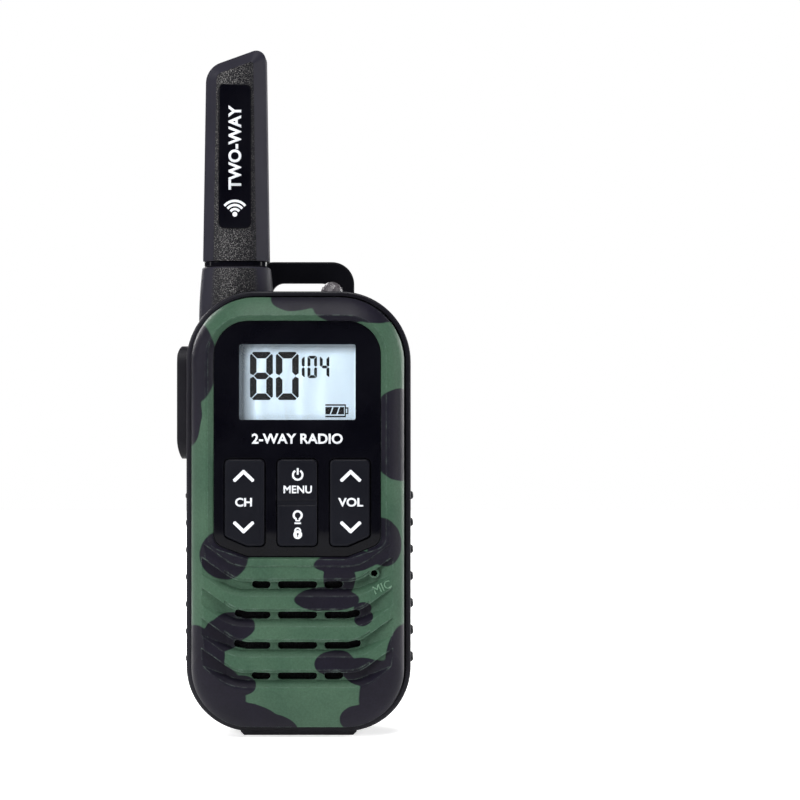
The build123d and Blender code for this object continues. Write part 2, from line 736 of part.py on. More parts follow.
with BuildPart() as spring_plates:
    for x, up in cells:
        with BuildSketch(Plane.XY.offset(cell_mid - up * (CELL_L / 2 + 1.5))):
            with Locations((x, CELL_Y)):
                Rectangle(8, 8)
        extrude(amount=-up * 0.35)
save(spring_plates.part, "spring_plates")

# ---------------------------------------------------------------- battery door
with BuildPart() as battery_door:
    with BuildSketch(facing(BACK_Y)):
        with Locations((0, (DOOR_Z0 + DOOR_Z1) / 2)):
            RectangleRounded(2 * DOOR_X - 0.4, DOOR_Z1 - DOOR_Z0 - 0.4, 0.4)
    extrude(amount=BACK_Y - BACK_WALL_Y)
    fillet(battery_door.faces().sort_by(Axis.Y)[-1].edges(), 0.3)
    with BuildSketch(facing(BACK_Y)):
        with Locations(*[(0, 50.0 + 1.8 * k) for k in range(5)]):
            SlotOverall(20, 0.8)
    extrude(amount=0.5, mode=Mode.SUBTRACT)
    with BuildSketch(facing(BACK_Y)):
        with Locations((0, 31)):
            RectangleRounded(24, 24, 2)
    extrude(amount=0.35, mode=Mode.SUBTRACT)
    with BuildSketch(facing(BACK_WALL_Y)):
        with Locations((-10, 58.6), (10, 58.6)):
            Rectangle(5.6, 4.0)
    extrude(amount=0.6)
    with BuildSketch(facing(BACK_WALL_Y - 0.5)):
        with Locations((-10, 60.1), (10, 60.1)):
            Rectangle(5.6, 5.0)
    extrude(amount=1.2)
    with BuildSketch(facing(BACK_Y)):
        with Locations((0, DOOR_SCREW_Z)):
            Circle(2.5)
    extrude(amount=1.1, mode=Mode.SUBTRACT)
    with BuildSketch(facing(BACK_Y)):
        with Locations((0, DOOR_SCREW_Z)):
            Circle(1.3)
    extrude(amount=4, mode=Mode.SUBTRACT)
save(battery_door.part, "battery_door")

with BuildPart() as door_screw:
    with BuildSketch(facing(BACK_Y - 0.1)):
        with Locations((0, DOOR_SCREW_Z)):
            Circle(2.3)
    extrude(amount=0.95)
    with BuildSketch(facing(BACK_Y - 1)):
        with Locations((0, DOOR_SCREW_Z)):
            Circle(1.15)
    extrude(amount=5.0)
    with BuildSketch(facing(BACK_Y)):
        with Locations((0, DOOR_SCREW_Z)):
            Rectangle(3.0, 0.7)
            Rectangle(0.7, 3.0)
    extrude(amount=0.6, mode=Mode.SUBTRACT)
save(door_screw.part, "door_screw")

with BuildPart() as door_pad:
    with BuildSketch(facing(BACK_WALL_Y)):
        with Locations((0, 36)):
            RectangleRounded(26, 10, 1)
    extrude(amount=2.1)
save(door_pad.part, "door_pad")

# ---------------------------------------------------------------- belt clip
with BuildPart() as clip_bracket:
    with BuildSketch(facing(BACK_Y - 0.6)):
        with Locations((0, PIN_Z)):
            RectangleRounded(20.0, 17.0, 1.5)
    extrude(amount=-1.3)
    with BuildSketch(Plane.YZ.offset(-9.4)):
        with Locations((PIN_Y, PIN_Z)):
            Circle(1.8)
        with Locations((PIN_Y - 1.1, PIN_Z)):
            Rectangle(2.2, 3.6)
    extrude(amount=2.0)
    with BuildSketch(Plane.YZ.offset(9.4)):
        with Locations((PIN_Y, PIN_Z)):
            Circle(1.8)
        with Locations((PIN_Y - 1.1, PIN_Z)):
            Rectangle(2.2, 3.6)
    extrude(amount=-2.0)
    with BuildSketch(Plane.YZ):
        with Locations((PIN_Y, PIN_Z)):
            Circle(PIN_R)
    extrude(amount=12, both=True, mode=Mode.SUBTRACT)
    with BuildSketch(facing(BACK_Y + 0.7)):
        with Locations(*BRACKET_SCREWS):
            Circle(1.1)
    extrude(amount=2, mode=Mode.SUBTRACT)
save(clip_bracket.part, "clip_bracket")

with BuildPart() as clip_pin:
    with BuildSketch(Plane.YZ.offset(-9.6)):
        with Locations((PIN_Y, PIN_Z)):
            Circle(PIN_R)
    extrude(amount=19.2)
save(clip_pin.part, "clip_pin")

with BuildPart() as bracket_screws:
    for spot in BRACKET_SCREWS:
        with BuildSketch(facing(BACK_Y + 0.7)):
            with Locations(spot):
                Circle(1.05)
        extrude(amount=1.3)
        with BuildSketch(facing(BACK_Y - 0.6)):
            with Locations(spot):
                Circle(0.85)
        extrude(amount=3.0)
save(bracket_screws.part, "bracket_screws")

with BuildPart() as belt_clip:
    with BuildSketch(facing(CLIP_Y + CLIP_T)) as blade:
        Polygon(
            (-8.0, CLIP_END),
            (8.0, CLIP_END),
            (11.0, 92),
            (13.6, 100),
            (13.6, CLIP_TOP),
            (-13.6, CLIP_TOP),
            (-13.6, 100),
            (-11.0, 92),
            align=None,
        )
        fillet(blade.vertices().group_by(Axis.Y)[-1], 5.9)
        fillet(blade.vertices().group_by(Axis.Y)[0], 4.0)
        fillet(blade.vertices().filter_by(lambda v: 90 < v.Z < 102), 5.0)
    extrude(amount=CLIP_T)
    fillet(belt_clip.faces().filter_by(Axis.Y).edges(), 0.6)
    with BuildSketch(facing(CLIP_Y + CLIP_T)):
        with Locations((0, 110.2)):
            RectangleRounded(16.4, 11.6, 3.2)
    extrude(amount=CLIP_T, mode=Mode.SUBTRACT)
    # hooked end
    with BuildSketch(Plane.YZ.offset(-5.5)):
        Polygon((CLIP_Y + 1, 65.6), (CLIP_Y + 1, 70.2), (CLIP_Y - 0.6, 69.8), (16.1, 67.4), (16.1, 66.4), align=None)
    extrude(amount=11)
    # knuckles on the pin
    for x in (-7.1, 2.9):
        with BuildSketch(Plane.YZ.offset(x)):
            with Locations((PIN_Y, PIN_Z)):
                Circle(1.65)
            with Locations((PIN_Y + 1.2, PIN_Z)):
                Rectangle(2.4, 3.3)
        extrude(amount=4.2)
    with BuildSketch(Plane.YZ):
        with Locations((PIN_Y, PIN_Z)):
            Circle(PIN_R + 0.06)
    extrude(amount=7.5, both=True, mode=Mode.SUBTRACT)
    # grip ridges on the thumb bar
    with BuildSketch(facing(CLIP_Y + CLIP_T)):
        with Locations((0, 117.6), (0, 118.9), (0, 120.2)):
            SlotOverall(14, 0.55)
    extrude(amount=0.3, mode=Mode.SUBTRACT)
save(belt_clip.part, "belt_clip")

with BuildPart() as case_screws:
    for spot in CASE_SCREWS:
        with BuildSketch(facing(BACK_Y - 6.5)):
            with Locations(spot):
                Circle(2.4)
        extrude(amount=-1.5)
        with BuildSketch(facing(BACK_Y - 6.5)):
            with Locations(spot):
                Circle(1.05)
        extrude(amount=15.5)
    with BuildSketch(facing(BACK_Y - 5)):
        with Locations(*CASE_SCREWS):
            Rectangle(3.0, 0.7)
            Rectangle(0.7, 3.0)
    extrude(amount=0.8, mode=Mode.SUBTRACT)
save(case_screws.part, "case_screws")

# ---------------------------------------------------------------- springs
with BuildPart() as battery_springs:
    for x, up in cells:
        start = cell_mid - up * (CELL_L / 2 + 1.2)
        with BuildLine():
            Helix(pitch=0.78, height=0.9, radius=3.2, center=(x, CELL_Y, start), direction=(0, 0, up), cone_angle=-62)
        with BuildSketch(Plane((x + up * 3.2, CELL_Y, start), x_dir=(1, 0, 0), z_dir=(0, 1, 0))):
            Circle(0.28)
        sweep(is_frenet=True)
save(battery_springs.part, "battery_springs")

with BuildPart() as clip_spring:
    with BuildLine():
        Helix(pitch=0.62, height=3.9, radius=1.27, center=(-1.95, PIN_Y, PIN_Z), direction=(1, 0, 0))
    with BuildSketch(Plane((-1.95, PIN_Y, PIN_Z + 1.27), x_dir=(0, 0, 1), z_dir=(0.077, -1, 0))):
        Circle(0.24)
    sweep(is_frenet=True)
save(clip_spring.part, "clip_spring")
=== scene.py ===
import json
import math

import bpy
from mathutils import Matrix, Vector


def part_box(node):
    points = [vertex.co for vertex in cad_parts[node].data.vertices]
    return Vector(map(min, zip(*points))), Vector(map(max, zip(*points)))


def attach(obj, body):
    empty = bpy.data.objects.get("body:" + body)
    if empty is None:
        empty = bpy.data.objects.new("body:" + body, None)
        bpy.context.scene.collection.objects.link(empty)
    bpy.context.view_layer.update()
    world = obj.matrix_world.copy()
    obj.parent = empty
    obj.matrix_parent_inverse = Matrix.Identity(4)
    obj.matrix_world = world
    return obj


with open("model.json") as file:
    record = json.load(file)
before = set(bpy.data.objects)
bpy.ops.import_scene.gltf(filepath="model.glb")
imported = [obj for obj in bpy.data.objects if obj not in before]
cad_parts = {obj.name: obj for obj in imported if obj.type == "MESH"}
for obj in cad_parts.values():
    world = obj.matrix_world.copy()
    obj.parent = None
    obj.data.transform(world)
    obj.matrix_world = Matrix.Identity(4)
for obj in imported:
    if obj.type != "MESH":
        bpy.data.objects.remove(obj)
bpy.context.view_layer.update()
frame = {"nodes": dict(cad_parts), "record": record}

nodes = frame["nodes"]

MM = 0.001
BEVEL_SAMPLES = 6
PRINT_THICK = 0.02       # mm, ink on the keys and labels
PRINT_STEP = 0.003       # mm between pieces of one mark that cross each other
WORD_THICK = 0.03        # mm, lettering and display segments
CAMERA_X, CAMERA_Z = 0.02575, 0.0851
CAMERA_DISTANCE = 0.585  # metres in front of the shell's face
LENS, SENSOR = 105.3, 36


def srgb(r, g, b):
    """Linear RGBA colour from 0-255 screen values."""
    out = []
    for c in (r, g, b):
        c /= 255
        out.append(c / 12.92 if c <= 0.04045 else ((c + 0.055) / 1.055) ** 2.4)
    return (*out, 1.0)


# ---------------------------------------------------------------- node helpers
class Mat:
    """A material under construction: short names for the nodes it needs."""

    def __init__(self, name):
        self.mat = bpy.data.materials.new(name)
        self.mat.use_nodes = True
        self.tree = self.mat.node_tree
        self.tree.nodes.clear()
        self.out = self.node("ShaderNodeOutputMaterial")
        self.bsdf = self.node("ShaderNodeBsdfPrincipled")
        self.link(self.bsdf.outputs[0], self.out.inputs[0])
        self.coord = self.node("ShaderNodeTexCoord").outputs["Object"]

    def node(self, kind, **props):
        made = self.tree.nodes.new(kind)
        for key, value in props.items():
            setattr(made, key, value)
        return made

    def link(self, a, b):
        self.tree.links.new(a, b)

    def put(self, socket, value):
        """A link from another socket, or a plain value."""
        if isinstance(value, bpy.types.NodeSocket):
            self.link(value, socket)
        else:
            socket.default_value = value

    def math(self, operation, a, b=0.0, c=0.0):
        made = self.node("ShaderNodeMath", operation=operation)
        for socket, value in zip(made.inputs, (a, b, c)):
            self.put(socket, value)
        return made.outputs[0]

    def noise(self, scale, detail=3.0, rough=0.5, vector=None):
        made = self.node("ShaderNodeTexNoise")
        made.inputs["Scale"].default_value = scale
        made.inputs["Detail"].default_value = detail
        made.inputs["Roughness"].default_value = rough
        self.link(vector or self.coord, made.inputs["Vector"])
        return made.outputs["Fac"]

    def cells(self, scale, vector=None, feature="F1"):
        made = self.node("ShaderNodeTexVoronoi", feature=feature)
        made.inputs["Scale"].default_value = scale
        self.link(vector or self.coord, made.inputs["Vector"])
        return made.outputs["Distance"]

    def ramp(self, value, low, high, a=0.0, b=1.0):
        """Straight line from a at low to b at high, held beyond them."""
        made = self.node("ShaderNodeMapRange")
        for socket, v in zip(made.inputs, (value, low, high, a, b)):
            self.put(socket, v)
        return made.outputs[0]

    def mix(self, fac, a, b):
        made = self.node("ShaderNodeMix", data_type="RGBA")
        self.put(made.inputs["Factor"], fac)
        self.put(made.inputs["A"], a)
        self.put(made.inputs["B"], b)
        return made.outputs["Result"]

    def set(self, **values):
        """Values or links for the shader's sockets, an underscore standing for a space."""
        for key, value in values.items():
            self.put(self.bsdf.inputs[key.replace("_", " ")], value)

    def bump(self, height, strength, distance, edge=0.0):
        """Bump from a height field, over edges rounded by that radius."""
        made = self.node("ShaderNodeBump")
        made.inputs["Strength"].default_value = strength
        made.inputs["Distance"].default_value = distance
        self.link(height, made.inputs["Height"])
        if edge:
            bevel = self.node("ShaderNodeBevel", samples=BEVEL_SAMPLES)
            bevel.inputs["Radius"].default_value = edge
            self.link(bevel.outputs[0], made.inputs["Normal"])
        self.link(made.outputs[0], self.bsdf.inputs["Normal"])

    def edges(self, radius=0.0006):
        """1 along convex and concave edges, 0 on flat faces."""
        bevel = self.node("ShaderNodeBevel", samples=BEVEL_SAMPLES)
        bevel.inputs["Radius"].default_value = radius
        flat = self.node("ShaderNodeNewGeometry").outputs["Normal"]
        dot = self.node("ShaderNodeVectorMath", operation="DOT_PRODUCT")
        self.link(bevel.outputs[0], dot.inputs[0])
        self.link(flat, dot.inputs[1])
        return self.ramp(dot.outputs["Value"], 0.995, 0.85)


def shades(colour, amount, lift):
    """A darker and a lighter version of a colour, by that share either way."""
    dark = (*[c * (1 - amount) for c in colour[:3]], 1)
    light = (*[min(1, c * (1 + amount) + lift) for c in colour[:3]], 1)
    return dark, light


def plastic(name, colour, rough, grain=0.05, grain_scale=4000, shade=0.25, edge=0.0003, spec=0.5, wear=0.35):
    """Moulded plastic: mottled colour, fine grain, softened and slightly rubbed edges."""
    m = Mat(name)
    broad = m.noise(60, 4)
    fine = m.noise(grain_scale, 2, 0.6)
    base = m.mix(m.ramp(broad, 0.3, 0.7), *shades(colour, shade, 0.002))
    worn = m.math("MULTIPLY", m.edges(), m.ramp(m.noise(500, 4, 0.7), 0.45, 0.7, 0, wear))
    brightened = (*[min(1, c * 1.6 + 0.02) for c in colour[:3]], 1)
    m.set(Base_Color=m.mix(worn, base, brightened))
    m.set(Roughness=m.ramp(m.noise(180, 5, 0.6), 0.25, 0.75, max(rough - 0.07, 0.03), rough + 0.07))
    m.bsdf.inputs["Specular IOR Level"].default_value = spec
    m.bump(fine, grain, 0.0001, edge)
    return m.mat


def grained(name, colour, rough, cell=1400, depth=0.6, shade=0.3, edge=0.0004, spec=0.5):
    """Leather-like mould texture: pebbles with fine valleys."""
    m = Mat(name)
    wobble = m.node("ShaderNodeTexNoise")
    wobble.inputs["Scale"].default_value = 900
    m.link(m.coord, wobble.inputs["Vector"])
    moved = m.node("ShaderNodeVectorMath", operation="MULTIPLY_ADD")
    m.link(wobble.outputs["Color"], moved.inputs[0])
    moved.inputs[1].default_value = (0.6 * MM, 0.6 * MM, 0.6 * MM)
    m.link(m.coord, moved.inputs[2])
    pebble = m.cells(cell, moved.outputs[0], "SMOOTH_F1")
    m.set(Base_Color=m.mix(m.ramp(m.noise(80, 4), 0.3, 0.7), *shades(colour, shade, 0.003)))
    m.set(Roughness=m.ramp(pebble, 0.1, 0.6, rough - 0.08, rough + 0.12))
    m.bsdf.inputs["Specular IOR Level"].default_value = spec
    m.bump(m.math("SUBTRACT", 1.0, pebble), depth, 0.00025, edge)
    return m.mat


def spark_etched(name, middle):
    """Antenna moulding: spark-etched front and back, slightly crowned about middle, its flecks lit by a
    painted highlight strip left of the middle; smooth matt flanks.
    """
    painted_highlight_shift = 0.0012          # metres by which the brightest strip lies left of the middle
    crown_curve = -42.0      # height per square metre across
    etch_depth = 0.00007
    m = Mat(name)
    normal = m.node("ShaderNodeNewGeometry").outputs["Normal"]
    part = m.node("ShaderNodeSeparateXYZ")
    m.link(normal, part.inputs[0])
    facing = m.ramp(m.math("ABSOLUTE", part.outputs["Y"]), 0.9, 0.97)
    dot = m.ramp(m.cells(4300), 0.52, 0.2)
    bright = m.ramp(m.noise(3000, 2, 0.6), 0.4, 0.6)
    place = m.node("ShaderNodeSeparateXYZ")
    m.link(m.coord, place.inputs[0])
    across = m.math("SUBTRACT", place.outputs["X"], middle)
    # painted highlight: flecks brighter in a strip just left of the middle, dimmer towards the flanks
    brightened = m.ramp(m.math("ABSOLUTE", m.math("ADD", across, painted_highlight_shift)), 0.001, 0.0062, 1.0, 0.22)
    fleck = m.math("MULTIPLY", m.math("MULTIPLY", dot, bright), brightened)
    smooth = m.mix(m.ramp(m.noise(80, 4), 0.3, 0.7), srgb(23, 22, 31), srgb(29, 28, 38))
    etched = m.mix(fleck, srgb(9, 9, 14), srgb(142, 140, 139))
    m.set(Base_Color=m.mix(facing, smooth, etched))
    m.set(Roughness=m.ramp(facing, 0, 1, 0.55, 0.36))
    m.bsdf.inputs["Specular IOR Level"].default_value = 0.14
    crown = m.math("MULTIPLY", m.math("MULTIPLY", across, across), m.ramp(facing, 0, 1, 0, crown_curve))
    pits = m.math("ADD", dot, m.noise(2600, 3, 0.7))
    etch = m.math("MULTIPLY", pits, m.ramp(facing, 0, 1, 0.000004, etch_depth))
    m.bump(m.math("ADD", crown, etch), 1.0, 1.0, 0.0002)
    return m.mat


def metal(name, colour, rough, brushed=False):
    """Plated or brushed metal with scuffs."""
    m = Mat(name)
    vector = m.coord
    if brushed:
        stretch = m.node("ShaderNodeMapping")
        stretch.inputs["Scale"].default_value = (1, 14, 14)
        m.link(m.coord, stretch.inputs["Vector"])
        vector = stretch.outputs[0]
    scuff = m.noise(700, 6, 0.7, vector)
    dull = (*[c * 0.8 for c in colour[:3]], 1)
    m.set(Base_Color=m.mix(m.ramp(scuff, 0.35, 0.65), dull, colour))
    m.set(Roughness=m.ramp(scuff, 0.3, 0.7, rough, rough + 0.2))
    m.bsdf.inputs["Metallic"].default_value = 1.0
    m.bump(scuff, 0.08, 0.0001, 0.0001)
    return m.mat


# ---------------------------------------------------------------- camouflage
# Dark patches, in millimetres across and up the front: centre, half sizes, turn in degrees
DARK = [
    (-0.6, 110.7, 6.2, 3.3, 0), (9, 112.2, 9, 5, 0), (12, 108, 8, 3.6, 0), (20, 108.2, 7.2, 3.9, 0),
    (26, 83.6, 6, 4.4, 0), (26, 76, 5.8, 9.4, 0), (26, 69.6, 5.6, 4.6, 0),
    (-25, 94.5, 4.6, 10, 0), (-27.3, 82, 3.4, 8.6, 0),
    (-18.2, 46.3, 6.3, 6.2, 0),
    (21.5, 49.6, 4.5, 6.2, 12), (12.5, 44.6, 8.4, 2.6, 6), (10.6, 40.5, 4.0, 5, 0),
    (7.5, 35.2, 8.1, 3.0, 0), (16.2, 32.9, 2.4, 1.7, 20), (16.6, 30.6, 2.4, 2.0, 15),
    (-15.9, 28.4, 5.5, 3.6, 0), (-25.6, 21.5, 5.4, 7.2, 0), (-21, 22, 2.8, 8, 0), (-17.6, 24.8, 4.2, 2.4, 15),
    (-21.5, 10, 9, 9.3, 0), (-13.6, 13.5, 3.5, 2.4, 0), (-12, 5.6, 7.6, 3.6, -12), (-5, 3.1, 5.2, 2.9, -20),
    (9.5, 18.9, 5.2, 3.5, 0), (17, 17, 6, 3.5, -5), (26.5, 18, 4.5, 11, 0),
    (22.6, 10.5, 7.1, 9.4, 0), (15.5, 5, 4.8, 3.8, 0),
]


def camouflage():
    """Green shell with dark patches, whose borders wander a little."""
    sway = 1.2 * MM
    m = Mat("camouflage_print")
    wander = m.node("ShaderNodeTexNoise")
    wander.inputs["Scale"].default_value = 120
    wander.inputs["Detail"].default_value = 2
    m.link(m.coord, wander.inputs["Vector"])
    shift = m.node("ShaderNodeVectorMath", operation="MULTIPLY_ADD")
    m.link(wander.outputs["Color"], shift.inputs[0])
    shift.inputs[1].default_value = (sway, 0, sway)
    m.link(m.coord, shift.inputs[2])
    back = m.node("ShaderNodeVectorMath", operation="SUBTRACT")
    m.link(shift.outputs[0], back.inputs[0])
    back.inputs[1].default_value = (sway / 2, 0, sway / 2)
    flat = m.node("ShaderNodeVectorMath", operation="MULTIPLY")
    m.link(back.outputs[0], flat.inputs[0])
    flat.inputs[1].default_value = (1, 0, 1)
    near = None
    for x, z, half_x, half_z, turn in DARK:
        place = m.node("ShaderNodeMapping", vector_type="TEXTURE")
        place.inputs["Location"].default_value = (x * MM, 0, z * MM)
        place.inputs["Rotation"].default_value = (0, math.radians(-turn), 0)
        place.inputs["Scale"].default_value = (half_x * MM, 1, half_z * MM)
        m.link(flat.outputs[0], place.inputs["Vector"])
        reach = m.node("ShaderNodeVectorMath", operation="LENGTH")
        m.link(place.outputs[0], reach.inputs[0])
        distance = reach.outputs["Value"]
        near = distance if near is None else m.math("SMOOTH_MIN", near, distance, 0.16)
    patch = m.ramp(near, 1.02, 0.97)
    broad = m.noise(70, 4)
    green = m.mix(m.ramp(broad, 0.3, 0.7), srgb(46, 69, 55), srgb(57, 80, 64))
    dark = m.mix(m.ramp(broad, 0.3, 0.7), srgb(15, 14, 22), srgb(20, 18, 28))
    speck = m.ramp(m.noise(1700, 3, 0.75), 0.35, 0.65, 0.86, 1.1)
    colour = m.mix(patch, green, dark)
    spotted = m.node("ShaderNodeVectorMath", operation="SCALE")
    m.link(colour, spotted.inputs[0])
    m.link(speck, spotted.inputs["Scale"])
    # edges paler: partly rubbed wear, partly a painted highlight along the edges
    worn = m.math("MULTIPLY", m.edges(), m.ramp(m.noise(450, 4, 0.7), 0.46, 0.64, 0.03, 0.45))
    m.set(Base_Color=m.mix(worn, spotted.outputs[0], srgb(104, 122, 112)))
    m.set(Roughness=m.ramp(m.noise(220, 5, 0.6), 0.25, 0.75, 0.36, 0.5))
    m.bsdf.inputs["Specular IOR Level"].default_value = 0.09
    m.bump(m.noise(3000, 3, 0.7), 0.25, 0.0001, 0.0003)
    return m.mat


def clear(name, tint, alpha, rough=0.04):
    """Clear plastic pane, faintly uneven."""
    m = Mat(name)
    m.set(Base_Color=m.mix(m.ramp(m.noise(90, 3), 0.3, 0.7), tint, (*[c * 0.92 for c in tint[:3]], 1)))
    m.set(Roughness=m.ramp(m.noise(300, 4), 0.3, 0.7, rough, rough + 0.04))
    m.bsdf.inputs["Alpha"].default_value = alpha
    m.bsdf.inputs["Specular IOR Level"].default_value = 0.2
    m.bump(m.noise(400, 2), 0.02, 0.00005)
    return m.mat


def display_face():
    """Pale display with a painted glow, and a painted shadow darkening its left and top edges where its deep
    frame would shade it.
    """
    m = Mat("display_face")
    place = m.node("ShaderNodeSeparateXYZ")
    m.link(m.coord, place.inputs[0])
    low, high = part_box("display_window")
    from_left = m.ramp(m.math("SUBTRACT", place.outputs["X"], low.x), 0.001, 0.0041)
    from_top = m.ramp(m.math("SUBTRACT", high.z, place.outputs["Z"]), 0.0006, 0.0023)
    open_left = m.math("SMOOTH_MIN", from_left, 1.0, 0.25)
    open_top = m.math("SMOOTH_MIN", from_top, 1.0, 0.25)
    # painted shadow of the deep frame: darker towards the left and top edges
    painted_frame_shadow = m.math("MULTIPLY", m.ramp(open_left, 0, 1, 0.08, 1.0), m.ramp(open_top, 0, 1, 0.3, 1.0))
    ripple = m.ramp(m.noise(120, 3), 0.3, 0.7, 0.98, 1.0)
    shade = m.math("MULTIPLY", painted_frame_shadow, ripple)
    tone = m.mix(shade, srgb(64, 71, 78), srgb(195, 213, 227))
    # painted glow: the face gives off light of its own, standing in for light falling on it
    m.set(Base_Color=tone, Emission_Color=tone, Roughness=m.ramp(m.noise(300, 3), 0.3, 0.7, 0.5, 0.6))
    m.bsdf.inputs["Emission Strength"].default_value = 0.44
    m.bump(m.noise(3000, 2), 0.02, 0.00005)
    return m.mat


M = {
    "camo_shell": camouflage(),
    "black_shell": plastic("black_casing", srgb(17, 16, 23), 0.4, 0.2, 2600, 0.25, 0.0003, 0.14),
    "black_gloss": plastic("black_gloss", srgb(3, 3, 8), 0.1, 0.02, 2500, 0.2, 0.0002, 0.08),
    "key_plastic": plastic("key_plastic", srgb(9, 10, 17), 0.42, 0.06, 3500, 0.12, 0.0004, 0.08),
    "clear_plastic": clear("clear_plastic", (0.2, 0.21, 0.22, 1), 0.05),
    "lcd": display_face(),
    "white_plastic": plastic("white_plastic", srgb(210, 210, 205), 0.4),
    "rubber": plastic("black_rubber", srgb(15, 14, 20), 0.5, 0.18, 2600, 0.25, 0.0003, 0.12),
    "silicone": plastic("grey_silicone", srgb(34, 34, 36), 0.6),
    "board": plastic("green_board", srgb(18, 84, 46), 0.3),
    "steel": metal("zinc_steel", (0.55, 0.55, 0.57, 1), 0.3, True),
    "nickel": metal("nickel_plate", (0.66, 0.64, 0.6, 1), 0.2),
    "copper": metal("copper_wire", (0.7, 0.36, 0.16, 1), 0.25),
    "chip": plastic("chip_resin", srgb(34, 34, 36), 0.6, 0.2, 4000),
    "cell": plastic("cell_sleeve", srgb(40, 62, 96), 0.25, 0.02),
    "foam": plastic("black_foam", srgb(30, 30, 31), 0.9, 0.8, 1800),
    "cloth": grained("speaker_cloth", srgb(4, 4, 6), 0.9, 2600, 0.8, spec=0.1),
    "paper": plastic("pressed_paper", srgb(24, 24, 24), 0.85, 0.5, 1500),
}
smoked = grained("torch_smoke", srgb(62, 58, 62), 0.34, 1500, 0.9, 0.5, 0)
clip_black = plastic("clip_black", srgb(6, 6, 11), 0.5, 0.12, 2800, 0.2, 0.0003, 0.04)
antenna_low, antenna_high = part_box("antenna_sheath")
antenna_skin = spark_etched("antenna_skin", (antenna_low.x + antenna_high.x) / 2)
OWN = {
    "antenna_sheath": antenna_skin,
    "antenna_base": antenna_skin,
    "antenna_neck_ring": M["black_gloss"],
    "ptt_button": M["rubber"],
    "torch_lens": smoked,
    "belt_clip": clip_black,
    "microphone": M["cloth"],
    "mic_boot": M["cloth"],
    "speaker_mesh": M["cloth"],
}
for entry in frame["record"]["subparts"]:
    name = entry["node"]
    skin = OWN.get(name, M[entry["material_slot"]])
    obj = nodes[name]
    obj.data.materials.clear()
    obj.data.materials.append(skin)

white_print = plastic("white_print", srgb(200, 203, 208), 0.5, 0.03, 3000, 0.04, 0, 0.3, wear=0.0)
lcd_print = plastic("display_segments", srgb(14, 14, 16), 0.8, 0.02, 3000, 0.1, 0, 0.05, wear=0.0)


# ---------------------------------------------------------------- printed marks
def flat_mark(name, polygons, y, thick, body, material):
    """Thin raised print: closed polygons given in millimetres across and up, facing the front."""
    verts, faces = [], []
    for k, points in enumerate(polygons):
        n = len(points)
        front = y - thick - PRINT_STEP * (k % 4)
        ring = zip(points, points[1:] + points[:1])
        if sum(ax * bz - bx * az for (ax, az), (bx, bz) in ring) < 0:
            points = points[::-1]
        first = len(verts)
        verts += [(px * MM, front * MM, pz * MM) for px, pz in points]
        verts += [(px * MM, y * MM, pz * MM) for px, pz in points]
        faces.append([first + i for i in range(n)])
        faces.append([first + n + i for i in reversed(range(n))])
        for i in range(n):
            j = (i + 1) % n
            faces.append([first + i, first + n + i, first + n + j, first + j])
    mesh = bpy.data.meshes.new(name)
    mesh.from_pydata(verts, [], faces)
    mesh.materials.append(material)
    obj = bpy.data.objects.new(name, mesh)
    bpy.context.collection.objects.link(obj)
    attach(obj, body)
    return obj


def word(name, text, x, z, height, y, body, material, width, bold=0.0, thick=WORD_THICK, turn=0.0):
    """A word centred on x, z, its capitals of that height, fitted to width, facing the front."""
    curve = bpy.data.curves.new(name, "FONT")
    curve.body = text
    curve.align_x = "CENTER"
    curve.offset = bold
    curve.resolution_u = 6
    made = bpy.data.objects.new(name, curve)
    bpy.context.collection.objects.link(made)
    bpy.context.view_layer.update()
    mesh = bpy.data.meshes.new_from_object(made.evaluated_get(bpy.context.evaluated_depsgraph_get()))
    bpy.data.objects.remove(made)
    xs = [v.co.x for v in mesh.vertices]
    ys = [v.co.y for v in mesh.vertices]
    mid_x, mid_y = (min(xs) + max(xs)) / 2, (min(ys) + max(ys)) / 2
    tall = height * MM / (max(ys) - min(ys))
    wide = width * MM / (max(xs) - min(xs))
    c, s = math.cos(math.radians(turn)), math.sin(math.radians(turn))
    for v in mesh.vertices:
        u, w = (v.co.x - mid_x) * wide, (v.co.y - mid_y) * tall
        v.co = ((x * MM + u * c - w * s), (y - thick) * MM, (z * MM + u * s + w * c))
    mesh.name = name
    obj = bpy.data.objects.new(name, mesh)
    bpy.context.collection.objects.link(obj)
    solid = obj.modifiers.new("thickness", "SOLIDIFY")
    solid.thickness = thick * MM
    solid.offset = 0
    mesh.materials.append(material)
    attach(obj, body)
    return obj


def stroke(points, width, closed=False):
    """Quadrilaterals that follow a line of that width."""
    out = []
    runs = list(zip(points, points[1:] + points[:1] if closed else points[1:]))
    for (x0, z0), (x1, z1) in runs:
        length = math.hypot(x1 - x0, z1 - z0)
        nx, nz = (z0 - z1) / length * width / 2, (x1 - x0) / length * width / 2
        ex, ez = (x1 - x0) / length * width * 0.3, (z1 - z0) / length * width * 0.3
        out.append([(x0 + nx - ex, z0 + nz - ez), (x0 - nx - ex, z0 - nz - ez),
                    (x1 - nx + ex, z1 - nz + ez), (x1 + nx + ex, z1 + nz + ez)])
    return out


def arc(x, z, radius, start, end, steps=16):
    """Points on an arc, angles in degrees."""
    angles = [math.radians(start + (end - start) * i / steps) for i in range(steps + 1)]
    return [(x + radius * math.cos(a), z + radius * math.sin(a)) for a in angles]


def chevron(x, z, up):
    """An arrowhead of two round-ended strokes."""
    half_wide, half_tall, line = 2.2, 1.05, 0.85
    d = 1 if up else -1
    tips = [(x - half_wide, z - d * half_tall), (x, z + d * half_tall), (x + half_wide, z - d * half_tall)]
    return stroke(tips, line) + [arc(a, b, line / 2, 0, 330, 11) for a, b in tips]


def key_top(node):
    """A key's front plane and the middle of its face, in millimetres."""
    low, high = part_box(node)
    return low.y / MM, (low.x + high.x) / 2 / MM, (low.z + high.z) / 2 / MM


